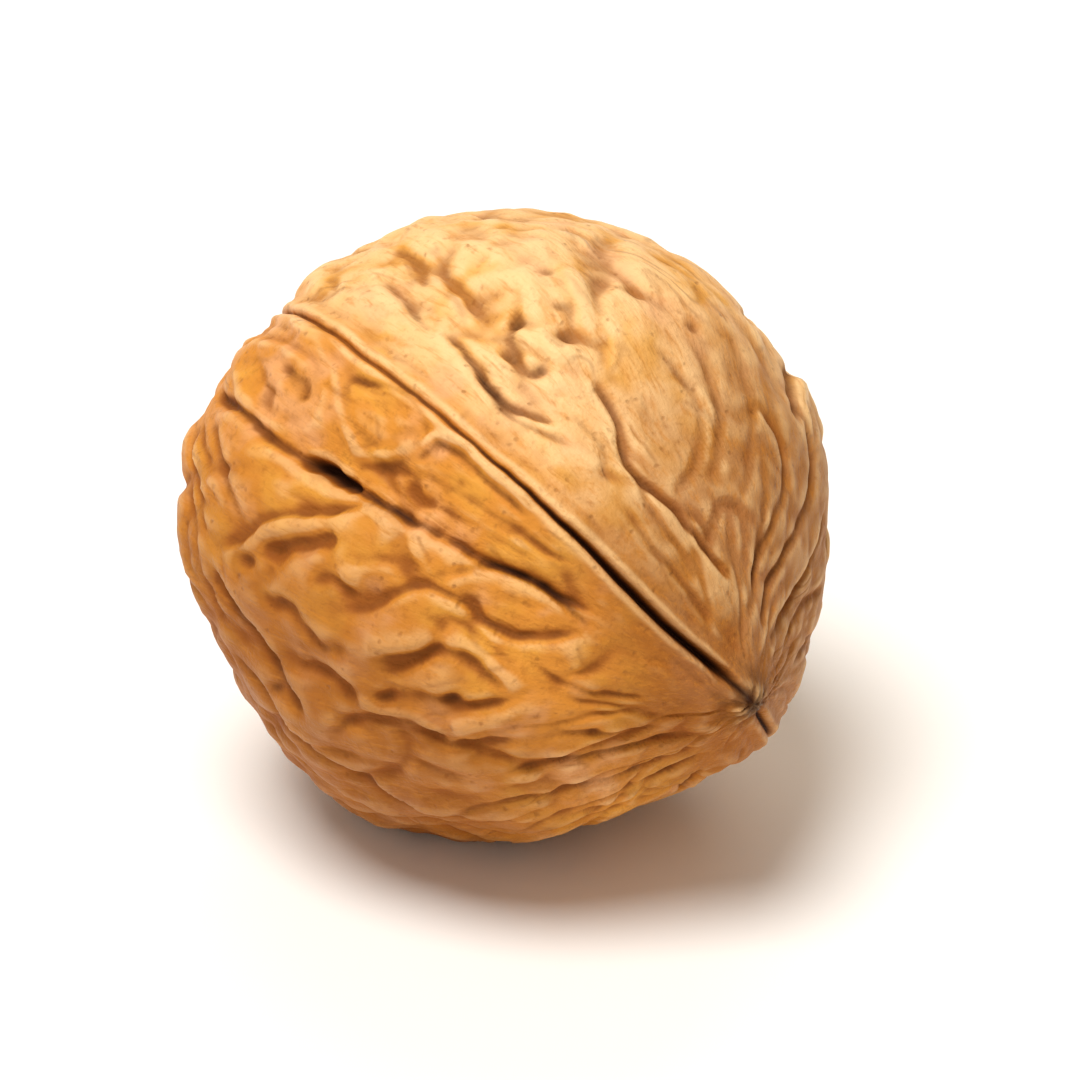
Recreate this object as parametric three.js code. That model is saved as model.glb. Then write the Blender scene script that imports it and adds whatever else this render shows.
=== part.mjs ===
// A walnut in its shell, lying on its side, in millimetres with +Z up.
//
// The row frame: +X runs along the nut towards its pointed end, and the floor is z = 0.
// The nut frame, used while shaping: x along the nut towards the pointed end, z through
// the ridge where the two half shells join (the suture), y through the two cheeks.
// The origin is the middle of the nut's box at floor level.
import * as THREE from "three";

// Driving dimensions.
const POINTED_HALF = 17.5; // middle of the nut to the shoulder of the pointed end
const STEM_HALF = 16.0; // middle of the nut to the stem end
const CHEEK_HALF = 16.8; // middle of the nut to the crown of a cheek
const SUTURE_HALF = 15.8; // middle of the nut to the shell under the ridge
const POINTED_FULLNESS = 1.9; // 2 is an ellipsoid, less tapers, more is squarer
const STEM_FULLNESS = 2.5;

const RIDGE_RISE = 0.5; // height of the suture's raised band
const RIDGE_HALF = 2.8; // half the width of that band
const VALLEY_DEPTH = 0.35; // hollow along each side of the band
const VALLEY_OFFSET = 6.0; // from the suture to the bottom of that hollow
const VALLEY_HALF = 1.6;

const TIP_RISE = 1.6; // the small beak on the pointed end
const TIP_SPREAD = 0.16; // how far round it spreads, in radians
const STEM_DIMPLE = 0.6; // hollow left where the stalk came off
const STEM_SPREAD = 0.16;

const LUMPS = 9; // broad swellings, laid over the shell as crossing waves
const LUMP_RISE = 0.1;
const LUMP_SHORTEST = 8.5; // crest to crest
const LUMP_STEP = 1.3; // how much longer each wave is than the one before

const CLEFT_DEPTH = 0.6; // one long cleft beside the band, on the upper side of the nut
const CLEFT_HALF = 0.9;
const CLEFT_STEM_TURN = radians(-28); // how far round from the suture it would meet each end
const CLEFT_POINT_TURN = radians(-20);
const CLEFT_START = 0.22; // where it starts and ends, as shares of the way to the point
const CLEFT_END = 0.9;

const ROLL = radians(32); // how far the suture has rolled from the top
const DIP = radians(4.6); // how far the pointed end hangs below level
const UNDERSIDE_RISE = 0.8; // the skin under the nut's weight is a little fuller
const UNDERSIDE_SPREAD = 0.4; // how far round that goes, in radians
const FLAT_CUT = 0.6; // how much of it is flattened into the resting spot

const COLUMNS = 76; // facets around the nut
const ROWS = 44; // facets from end to end
const COLUMN_CROWDING = 0.38; // draws the columns together at the two sutures

// How the nut lies, and which way is down in its own frame.
const lie = new THREE.Quaternion().setFromEuler(new THREE.Euler(ROLL, DIP, 0, "YXZ"));
const downInNut = new THREE.Vector3(0, 0, -1).applyQuaternion(lie.clone().invert());

function radians(degrees) {
  return THREE.MathUtils.degToRad(degrees);
}

/** A bump of height 1 that falls to 1/e at `half` from its middle. */
function bump(distance, half) {
  return Math.exp(-((distance / half) ** 2));
}

/** A band of height 1 with soft shoulders at `half` from its middle. */
function plateau(distance, half) {
  return 1 / (1 + (distance / half) ** 4);
}

/** Distance from the middle of the plain, smooth nut to its skin along `way`. */
function plainRadius(way) {
  const endHalf = way.x > 0 ? POINTED_HALF : STEM_HALF;
  const pointedShare = THREE.MathUtils.smoothstep(way.x, -0.7, 0.7);
  const fullness = THREE.MathUtils.lerp(STEM_FULLNESS, POINTED_FULLNESS, pointedShare);
  const sum =
    Math.abs(way.x / endHalf) ** fullness +
    Math.abs(way.y / CHEEK_HALF) ** fullness +
    Math.abs(way.z / SUTURE_HALF) ** fullness;
  return sum ** (-1 / fullness);
}

/** The suture's raised band and the hollow along each side of it. */
function sutureRelief(point, alongShare) {
  const aside = Math.abs(point.y);
  const hollow = bump(aside - VALLEY_OFFSET, VALLEY_HALF);
  const middle = Math.sin(Math.PI * alongShare);
  return RIDGE_RISE * plateau(aside, RIDGE_HALF) - VALLEY_DEPTH * hollow * middle;
}

/** The beak at the pointed end, less the dimple at the stem end. */
function endRelief(way) {
  const fromPoint = Math.acos(THREE.MathUtils.clamp(way.x, -1, 1));
  const fromStem = Math.PI - fromPoint;
  const beak = Math.exp(-fromPoint / TIP_SPREAD);
  return TIP_RISE * beak - STEM_DIMPLE * bump(fromStem, STEM_SPREAD);
}

/** Broad, shallow swellings: waves that cross in evenly spread directions. */
function lumps(point) {
  const goldenTurn = Math.PI * (3 - Math.sqrt(5));
  let height = 0;
  for (let i = 0; i < LUMPS; i++) {
    const rise = 1 - (2 * (i + 0.5)) / LUMPS;
    const level = Math.sqrt(1 - rise * rise);
    const across = new THREE.Vector3(
      level * Math.cos(i * goldenTurn),
      level * Math.sin(i * goldenTurn),
      rise,
    );
    const wavelength = LUMP_SHORTEST + LUMP_STEP * i;
    height += Math.sin((2 * Math.PI * across.dot(point)) / wavelength + i);
  }
  return LUMP_RISE * height;
}

/** The long cleft: it starts wide of the suture at the stem end and closes in on it. */
function cleft(way, point, alongShare) {
  const turn = Math.atan2(way.y, way.z);
  const course = THREE.MathUtils.lerp(CLEFT_STEM_TURN, CLEFT_POINT_TURN, alongShare);
  const aside = (turn - course) * Math.hypot(point.y, point.z);
  const share = (alongShare - CLEFT_START) / (CLEFT_END - CLEFT_START);
  const fade = Math.sin(Math.PI * THREE.MathUtils.clamp(share, 0, 1));
  return -CLEFT_DEPTH * bump(aside, CLEFT_HALF) * fade;
}

/** The fuller skin that the nut lies on. */
function underside(way) {
  return UNDERSIDE_RISE * bump(way.angleTo(downInNut), UNDERSIDE_SPREAD);
}

/** The shell's skin along the unit vector `way`, in the nut frame. */
function skin(way) {
  const point = way.clone().multiplyScalar(plainRadius(way));
  const alongShare = Math.acos(THREE.MathUtils.clamp(-way.x, -1, 1)) / Math.PI;
  const relief =
    sutureRelief(point, alongShare) +
    endRelief(way) +
    lumps(point) +
    cleft(way, point, alongShare) +
    underside(way);
  return point.addScaledVector(way, relief);
}

/** The direction of a grid point, its column drawn towards the nearer suture. */
function crowded(way) {
  const turn = Math.atan2(way.y, way.z);
  const level = Math.hypot(way.y, way.z);
  const moved = turn - (COLUMN_CROWDING / 2) * Math.sin(2 * turn);
  return new THREE.Vector3(way.x, level * Math.sin(moved), level * Math.cos(moved));
}

/** The whole nut in its own frame, before it is laid down. */
function wholeNut() {
  // The sphere's poles are turned to the nut's two ends.
  const geometry = new THREE.SphereGeometry(1, COLUMNS, ROWS).rotateZ(-Math.PI / 2);
  const places = geometry.getAttribute("position");
  const way = new THREE.Vector3();
  for (let i = 0; i < places.count; i++) {
    way.fromBufferAttribute(places, i).normalize();
    places.setXYZ(i, ...skin(crowded(way)));
  }
  return geometry;
}

/** Presses the geometry's lowest skin flat and returns how far down that floor is. */
function pressFlat(geometry) {
  const places = geometry.getAttribute("position");
  const point = new THREE.Vector3();
  const depths = [];
  for (let i = 0; i < places.count; i++) {
    depths.push(point.fromBufferAttribute(places, i).dot(downInNut));
  }
  const floorDepth = Math.max(...depths) - FLAT_CUT;
  depths.forEach((depth, i) => {
    point.fromBufferAttribute(places, i);
    point.addScaledVector(downInNut, Math.min(floorDepth - depth, 0));
    places.setXYZ(i, ...point);
  });
  return floorDepth;
}

const shellMaterial = new THREE.MeshStandardMaterial({
  color: 0xd9a05f,
  roughness: 0.6,
  metalness: 0,
});

const walnut = new THREE.Mesh(wholeNut(), shellMaterial);
walnut.name = "walnut";
walnut.quaternion.copy(lie);

// It lies on its flat spot, with its box centred over the origin.
const floorDepth = pressFlat(walnut.geometry);
walnut.geometry.computeVertexNormals();
const middle = new THREE.Box3().setFromObject(walnut, true).getCenter(new THREE.Vector3());
walnut.position.set(-middle.x, -middle.y, floorDepth);

const part = new THREE.Group();
part.add(walnut);

export default part;
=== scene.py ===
"""A whole walnut in its closed shell, lying on its side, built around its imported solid.

The nut frame is used for all of the shell's relief: x runs along the nut towards its
pointed end, z through the seam on its upper side, and y through its two cheeks. A spot on
the skin is also given by two angles: its turn about the nut's length, from the upper seam
towards +y, and how far along it is, from 0 at the stem end to 180 at the point.
Objects are in metres. Relief is worked out in millimetres.
"""

import logging
import math
from dataclasses import dataclass, field, replace
from enum import Enum
from typing import Optional, Sequence, Union

import bpy
from mathutils import Euler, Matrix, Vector


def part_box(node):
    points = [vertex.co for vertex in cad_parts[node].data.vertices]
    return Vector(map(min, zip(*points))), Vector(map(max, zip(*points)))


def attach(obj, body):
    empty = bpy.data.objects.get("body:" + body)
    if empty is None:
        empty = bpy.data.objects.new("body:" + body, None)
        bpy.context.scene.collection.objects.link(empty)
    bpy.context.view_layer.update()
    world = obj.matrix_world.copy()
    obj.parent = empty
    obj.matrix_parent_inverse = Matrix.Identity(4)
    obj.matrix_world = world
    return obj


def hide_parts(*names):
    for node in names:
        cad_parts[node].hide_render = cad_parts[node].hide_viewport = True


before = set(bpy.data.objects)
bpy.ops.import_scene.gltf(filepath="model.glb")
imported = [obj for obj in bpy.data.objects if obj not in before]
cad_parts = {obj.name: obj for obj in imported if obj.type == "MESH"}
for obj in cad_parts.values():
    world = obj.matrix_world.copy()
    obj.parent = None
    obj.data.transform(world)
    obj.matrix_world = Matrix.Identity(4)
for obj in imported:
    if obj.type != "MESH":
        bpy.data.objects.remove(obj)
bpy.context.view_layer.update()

LOG = logging.getLogger("walnut")

MM = 0.001
MEAN_RADIUS = 17.0  # mm, the round body that creases are drawn on
ROLL = 32.0  # degrees that the seam has rolled from the top
DIP = 4.6  # degrees that the pointed end hangs below level
LIE = Euler((math.radians(ROLL), math.radians(DIP), 0.0), "XYZ")  # how the nut lies
NUT_CENTRE = Vector((-1.53, -0.07, 16.21)) * MM  # where the nut frame's axes cross

Number = Union[float, int, "Wire"]
Pair = tuple[float, float]
Triple = tuple[float, float, float]
Spot = tuple[float, float, float, float]
Angles = Pair
Colour = Triple


# ---------------------------------------------------------------- wiring node trees


class Wire:
    """A value on its way through a node tree, which adds and multiplies like a number."""

    def __init__(self, graph: "Graph", socket: bpy.types.NodeSocket) -> None:
        """Holds the socket that the value comes out of."""
        self.graph = graph
        self.socket = socket

    def __add__(self, other: Number) -> "Wire":
        """The sum with another value."""
        return self.graph.math("ADD", self, other)

    def __sub__(self, other: Number) -> "Wire":
        """This value less another."""
        return self.graph.math("SUBTRACT", self, other)

    def __rsub__(self, other: Number) -> "Wire":
        """Another value less this one."""
        return self.graph.math("SUBTRACT", other, self)

    def __mul__(self, other: Number) -> "Wire":
        """The product with another value."""
        return self.graph.math("MULTIPLY", self, other)

    def __truediv__(self, other: Number) -> "Wire":
        """This value over another."""
        return self.graph.math("DIVIDE", self, other)

    def __abs__(self) -> "Wire":
        """The value without its sign."""
        return self.graph.math("ABSOLUTE", self)

    __radd__ = __add__
    __rmul__ = __mul__


class Graph:
    """Adds and joins nodes in one tree, of geometry or of shading."""

    def __init__(self, tree: bpy.types.NodeTree) -> None:
        """Takes the tree to work in."""
        self.tree = tree

    def node(self, kind: str, inputs: Optional[dict] = None, **settings: object) -> bpy.types.Node:
        """Adds one node.

        Args:
            kind: The node's type name.
            inputs: Values or wires by the input's name or number.
            settings: Properties of the node itself.

        Returns:
            The new node.
        """
        made = self.tree.nodes.new(kind)
        for name, value in settings.items():
            setattr(made, name, value)
        for name, value in (inputs or {}).items():
            self.feed(made.inputs[name], value)
        return made

    def feed(self, socket: bpy.types.NodeSocket, value: object) -> None:
        """Links a wire or an output to a socket, or sets a plain value on it.

        Args:
            socket: The input to fill.
            value: A wire, an output socket or a plain value.
        """
        if isinstance(value, Wire):
            self.tree.links.new(value.socket, socket)
        elif isinstance(value, bpy.types.NodeSocket):
            self.tree.links.new(value, socket)
        else:
            socket.default_value = value

    def wire(self, node: bpy.types.Node, output: Union[int, str] = 0) -> Wire:
        """The wire that comes out of one of a node's outputs."""
        return Wire(self, node.outputs[output])

    def math(self, operation: str, *values: Number) -> Wire:
        """A sum on plain values."""
        return self.wire(self.node("ShaderNodeMath", dict(enumerate(values)), operation=operation))

    def vector_math(self, operation: str, *values: object, output: str = "Vector") -> Wire:
        """A sum on vectors.

        Args:
            operation: What is done with them.
            values: Wires or plain vectors.
            output: The name of the output that the result is taken from.

        Returns:
            The result.
        """
        node = self.node("ShaderNodeVectorMath", operation=operation)
        for socket, value in zip(node.inputs, values):
            self.feed(socket, value)
        return self.wire(node, output)

    def scaled(self, vector: Wire, by: Number) -> Wire:
        """A vector made longer or shorter."""
        node = self.node("ShaderNodeVectorMath", {"Vector": vector, "Scale": by}, operation="SCALE")
        return self.wire(node)

    def combined(self, x: Number, y: Number, z: Number) -> Wire:
        """A vector from its three parts."""
        return self.wire(self.node("ShaderNodeCombineXYZ", {"X": x, "Y": y, "Z": z}))

    def separated(self, vector: Wire) -> tuple[Wire, Wire, Wire]:
        """The three parts of a vector."""
        node = self.node("ShaderNodeSeparateXYZ", {0: vector})
        return self.wire(node, 0), self.wire(node, 1), self.wire(node, 2)

    def ramp(self, value: Number, low: float, high: float, start: Number = 0.0, end: Number = 1.0) -> Wire:
        """Eases from start to end as a value goes from low to high, and holds outside them.

        Args:
            value: What drives the change.
            low: Where it begins.
            high: Where it is complete.
            start: The result at low and below.
            end: The result at high and above.

        Returns:
            The eased value.
        """
        sockets = {"Value": value, "From Min": low, "From Max": high, "To Min": start, "To Max": end}
        return self.wire(self.node("ShaderNodeMapRange", sockets, interpolation_type="SMOOTHSTEP"))

    def bump(self, distance: Number, half: Number) -> Wire:
        """A rounded ridge of height 1 that falls to 1/e at half from its middle."""
        ratio = self.math("DIVIDE", distance, half)
        return self.math("EXPONENT", ratio * ratio * -1.0)

    def noise(self, place: Wire, size: float, detail: float = 2.0, rough: float = 0.5) -> Wire:
        """Soft noise from about -0.5 to 0.5.

        Args:
            place: Where it is read, in mm.
            size: How far its swells are apart, in mm.
            detail: How many finer layers it has.
            rough: How strong those layers are.

        Returns:
            The noise at that place.
        """
        sockets = {"Vector": place, "Scale": 1.0 / size, "Detail": detail, "Roughness": rough}
        return self.wire(self.node("ShaderNodeTexNoise", sockets)) - 0.5

    def patches(self, place: Wire, size: float, low: float, high: float, detail: float = 1.0) -> Wire:
        """Soft patches in which something shows, from 0 to 1.

        Args:
            place: Where they are read, in mm.
            size: How far they are apart, in mm.
            low: The noise at which they begin.
            high: The noise at which they are full.
            detail: How many finer layers that noise has.

        Returns:
            How much shows there.
        """
        return self.ramp(self.noise(place, size, detail), low, high)

    def off_contour(self, height: Wire, levels: float) -> Wire:
        """How far a height is from the nearest of its contour lines, from 0 to 0.5 of a level."""
        return abs(self.math("FRACT", height * levels) - 0.5)

    def warped(self, place: Wire, size: float, reach: Number) -> Wire:
        """A place pushed about by noise, so that what is drawn there runs unevenly.

        Args:
            place: The place to push, in mm.
            size: How far the pushes are apart, in mm.
            reach: How far the strongest push goes, in mm.

        Returns:
            The pushed place.
        """
        sockets = {"Vector": place, "Scale": 1.0 / size, "Detail": 1.0}
        push = self.wire(self.node("ShaderNodeTexNoise", sockets), "Color")
        centred = self.vector_math("SUBTRACT", push, (0.5, 0.5, 0.5))
        return self.vector_math("ADD", place, self.scaled(centred, reach * 2.0))

    def cells(self, place: Wire, size: float, feature: str) -> bpy.types.Node:
        """A field of cells of about that size, in mm, whose distances come out in cell sizes."""
        sockets = {"Vector": place, "Scale": 1.0 / size}
        return self.node("ShaderNodeTexVoronoi", sockets, feature=feature)

    def mixed(self, share: Number, first: object, second: object) -> Wire:
        """A colour between two others.

        Args:
            share: How much of the second there is in it, from 0 to 1.
            first: The colour at 0.
            second: The colour at 1.

        Returns:
            The mixed colour.
        """
        node = self.node("ShaderNodeMix", {0: share}, data_type="RGBA")
        self.feed(node.inputs[6], first)
        self.feed(node.inputs[7], second)
        return self.wire(node, 2)


def spot(turn: float, along: float) -> Vector:
    """Finds a point of the round mean body.

    Args:
        turn: Degrees about the nut, from the upper seam towards +y.
        along: Degrees from the stem end.

    Returns:
        The point, in mm, in the nut frame.
    """
    t = math.radians(turn)
    a = math.radians(along)
    return Vector((-math.cos(a), math.sin(a) * math.sin(t), math.sin(a) * math.cos(t))) * MEAN_RADIUS


def radians(angles: Angles) -> Angles:
    """Both of two angles in radians."""
    return math.radians(angles[0]), math.radians(angles[1])


def opaque(colour: Colour) -> tuple[float, float, float, float]:
    """A colour with full alpha, as a socket takes it."""
    return (*colour, 1.0)


# ---------------------------------------------------------------- creases drawn one by one


class Course(Enum):
    """Whether a crease has two ends or closes on itself."""

    OPEN = "open"
    LOOP = "loop"


@dataclass(frozen=True)
class Crease:
    """One crease, drawn through a few spots on the skin, as (turn, along) in degrees."""

    spots: tuple[Angles, ...]
    depth: float = 0.25  # mm
    half: float = 0.22  # mm, half its width
    lift: float = 0.0  # mm that the skin on its +turn side stands proud, if it runs to the point
    reach: float = 1.4  # mm that the lift takes to die away
    dark: float = 0.5  # how much darker it is painted, 0 to 1: painted shade in the groove, with some grime
    course: Course = Course.OPEN

    STEP = 0.2  # mm between the points that it is sampled at
    TAPER = 1.6  # mm over which an open end fades out
    SHORT_TAPER = (0.1, 0.3)  # and in a short crease: the least in mm, or this share of its length
    END_STEPS = 4  # that don't count in that length

    def taper(self, path: Sequence[Vector]) -> float:
        """How far its ends take to fade out, in mm, which is little in a short crease."""
        least, share = self.SHORT_TAPER
        return min(self.TAPER, max(least, share * (len(path) - self.END_STEPS) * self.STEP))

    def turned(self, by: float) -> "Crease":
        """The same crease elsewhere round the nut."""
        return replace(self, spots=tuple((turn + by, along) for turn, along in self.spots))

    def path(self) -> list[Vector]:
        """Samples the smooth curve through the spots.

        Returns:
            Points on the round mean body, in mm.
        """
        through = [spot(*angles) for angles in self.spots]
        count = len(through)
        closed = self.course is Course.LOOP
        path = []
        for i in range(count if closed else count - 1):
            before = through[(i - 1) % count] if closed else through[max(i - 1, 0)]
            start = through[i]
            end = through[(i + 1) % count]
            after = through[(i + 2) % count] if closed else through[min(i + 2, count - 1)]
            steps = max(2, round((end - start).length / self.STEP))
            for k in range(steps):
                t = k / steps
                point = 0.5 * (
                    2 * start
                    + (end - before) * t
                    + (2 * before - 5 * start + 4 * end - after) * t * t
                    + (3 * start - before - 3 * end + after) * t * t * t
                )
                path.append(point.normalized() * MEAN_RADIUS)
        if not closed:
            path.append(through[-1])
        return path


@dataclass(frozen=True)
class CreaseWork:
    """All the creases of the nut, as a mesh of lines that the shell is carved along."""

    creases: tuple[Crease, ...]

    NARROWEST = 0.23  # mm, half the width of the finest groove that the shell's mesh can hold
    SMOOTHED = 0.08  # mm, how much more is cut because the last smoothing fills fine grooves
    ROUNDED = 0.7  # how bluntly an open end fades: less is blunter
    POINTED = 0.6  # the share of its width that is left at an open end

    def mesh(self) -> bpy.types.Mesh:
        """Draws the lines.

        Returns:
            A mesh of edges in mm, each point carrying its crease's sizes.
        """
        points: list[Vector] = []
        edges: list[tuple[int, int]] = []
        values: dict[str, list[float]] = {name: [] for name in ("depth", "half", "lift", "reach", "dark")}
        numbers: list[int] = []
        tangents: list[float] = []
        for number, crease in enumerate(self.creases):
            path = crease.path()
            half = max(crease.half, self.NARROWEST)
            cut = 1.0 + self.SMOOTHED / half
            first = len(points)
            closed = crease.course is Course.LOOP
            for k, point in enumerate(path):
                ahead = path[(k + 1) % len(path)] if closed else path[min(k + 1, len(path) - 1)]
                behind = path[k - 1] if closed or k else path[0]
                to_end = (min(k, len(path) - 1 - k) + 0.5) * crease.STEP / crease.taper(path)
                fade = 1.0 if closed else math.sin(min(to_end, 1.0) * math.pi / 2) ** self.ROUNDED
                points.append(point)
                numbers.append(number)
                tangents.extend((ahead - behind).normalized())
                values["depth"].append(crease.depth * cut * fade)
                values["half"].append(half * (self.POINTED + (1.0 - self.POINTED) * fade))
                values["lift"].append(crease.lift * fade)
                values["reach"].append(crease.reach)
                values["dark"].append(crease.dark * cut * fade)
            edges.extend((first + k, first + k + 1) for k in range(len(path) - 1))
            if closed:
                edges.append((first + len(path) - 1, first))
        mesh = bpy.data.meshes.new("crease_lines")
        mesh.from_pydata(points, edges, [])
        mesh.attributes.new("number", "INT", "POINT").data.foreach_set("value", numbers)
        mesh.attributes.new("tangent", "FLOAT_VECTOR", "POINT").data.foreach_set("vector", tangents)
        for name, column in values.items():
            mesh.attributes.new(name, "FLOAT", "POINT").data.foreach_set("value", column)
        return mesh


def pit(turn: float, along: float, depth: float, half: float, dark: float = 0.55) -> Crease:
    """A small round pit, as a crease hardly longer than it is wide."""
    return Crease(((turn, along), (turn + 0.5, along + 1.2)), depth, half, dark=dark)


# Beside the upper seam, on its lower side: the long cleft and the band between the two.
CLEFT_AND_BAND = (
    Crease(((-28, 46), (-26, 56), (-25, 64), (-26, 74), (-25, 84), (-25, 92)),
           depth=0.45, half=0.28, dark=0.6),
    Crease(((-26, 81), (-25, 86), (-25, 94)), depth=1.15, half=0.38, dark=0.85),
    Crease(((-25, 91), (-24, 103), (-23, 114), (-23, 126), (-21, 137), (-20, 148)),
           depth=0.38, half=0.23, lift=-0.4, reach=1.6, dark=0.55),
    Crease(((-25, 95), (-24, 102), (-24, 112)), depth=0.27, half=0.23, dark=0.4),
    Crease(((-21, 64), (-22, 76), (-20, 88), (-19, 99), (-18, 112)), depth=0.3, half=1.1, dark=0.0),
    Crease(((-20, 92), (-18, 98), (-14, 107), (-13, 116), (-12, 127), (-11, 139)),
           depth=0.2, half=0.24, dark=0.35),
    Crease(((-20, 104), (-18, 114), (-17, 124), (-15, 134)), depth=0.14, half=0.2, dark=0.25),
    Crease(((-5, 58), (-6, 67), (-8, 76), (-13, 84), (-18, 91), (-14, 99), (-8, 104), (-5, 109),
            (-5, 118), (-6, 128)), depth=-0.24, half=0.36, dark=0.0),
    Crease(((-8, 82), (-13, 86), (-15, 93), (-12, 101), (-7, 102), (-4, 97), (-5, 89)),
           depth=0.14, half=0.17, dark=0.35, course=Course.LOOP),
    Crease(((-16, 90), (-17, 97), (-12, 104), (-7, 107), (-7, 117), (-8, 128)),
           depth=0.16, half=0.18, dark=0.4),
    Crease(((-20, 52), (-23, 59), (-24, 68), (-22, 76), (-18, 81), (-13, 79), (-10, 74), (-10, 65),
            (-12, 54)), depth=-0.2, half=0.36, dark=0.0),
    Crease(((-15, 58), (-18, 66), (-17, 74), (-13, 74), (-13, 66)), depth=0.14, half=0.22, dark=0.3),
    Crease(((-13, 66), (-14, 70), (-15, 75)), depth=0.3, half=0.5, dark=0.3),
    Crease(((-10, 87), (-9, 93), (-11, 97)), depth=0.08, half=0.25, dark=0.15),
)

# Below the cleft: thick plates of shell that lie over each other.
PLATES = (
    Crease(((-31, 52), (-33, 60), (-37, 68), (-42, 76)), depth=0.3, half=0.3, lift=0.15, dark=0.35),
    Crease(((-47, 54), (-50, 63), (-60, 69), (-66, 74)), depth=0.3, half=0.3, dark=0.35),
    Crease(((-40, 50), (-44, 60), (-49, 68)), depth=0.2, half=0.25, dark=0.3),
    Crease(((-49, 73), (-45, 77), (-39, 81), (-34, 88), (-30, 94), (-26, 99)),
           depth=0.35, half=0.24, lift=-0.5, reach=1.3, dark=0.5),
    Crease(((-44, 82), (-41, 88), (-38, 92), (-34, 98)), depth=0.75, half=0.6, dark=0.4),
    pit(-48, 79, 0.5, 0.5),
    pit(-39, 104, -0.35, 0.55, 0.0),
    Crease(((-43, 96), (-41, 101), (-42, 106)), depth=0.35, half=0.35, dark=0.35),
    Crease(((-36, 103), (-33, 108), (-30, 115)), depth=0.16, half=0.3, dark=0.15),
    Crease(((-46, 105), (-41, 111), (-36, 115), (-33, 120), (-34, 125), (-36, 131), (-37, 136),
            (-34, 142), (-27, 148)), depth=0.3, half=0.2, lift=-0.3, reach=1.4, dark=0.5),
    Crease(((-31, 119), (-28, 122), (-24, 127), (-21, 136), (-23, 146), (-27, 150)),
           depth=0.2, half=0.18, lift=-0.12, dark=0.5),
    Crease(((-30, 124), (-28, 132), (-27, 140)), depth=0.08, half=0.16, dark=0.25),
    Crease(((-53, 112), (-49, 120), (-46, 126), (-47, 132), (-52, 138)),
           depth=0.45, half=0.45, lift=0.35, reach=1.8, dark=0.4),
    Crease(((-53, 86), (-51, 93), (-55, 100), (-53, 107)), depth=0.5, half=0.55, lift=0.2, dark=0.35),
    Crease(((-55, 71), (-59, 76), (-62, 84), (-68, 90), (-73, 97)),
           depth=0.6, half=0.55, lift=0.25, reach=1.6, dark=0.55),
    Crease(((-74, 103), (-68, 110), (-66, 119), (-69, 129), (-66, 140)),
           depth=0.45, half=0.42, lift=0.25, dark=0.4),
    Crease(((-62, 97), (-60, 104), (-64, 110)), depth=0.35, half=0.4, dark=0.3),
    Crease(((-57, 122), (-58, 131), (-55, 139)), depth=0.3, half=0.35, dark=0.3),
    Crease(((-72, 76), (-74, 84), (-80, 90)), depth=0.4, half=0.35, dark=0.4),
    Crease(((-80, 84), (-82, 95), (-86, 106), (-95, 114), (-98, 126)),
           depth=0.5, half=0.4, lift=0.3, reach=1.8, dark=0.55),
    Crease(((-90, 76), (-93, 88), (-97, 98), (-106, 106)), depth=0.35, half=0.35, dark=0.4),
    Crease(((-43, 142), (-48, 152), (-47, 162)), depth=0.2, half=0.2, dark=0.4),
    Crease(((-62, 146), (-70, 156), (-72, 166)), depth=0.2, half=0.2, dark=0.4),
    pit(-61, 115, 0.6, 0.45),
    pit(-57, 128, 0.35, 0.4),
    pit(-72, 88, 0.4, 0.4),
)

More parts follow.
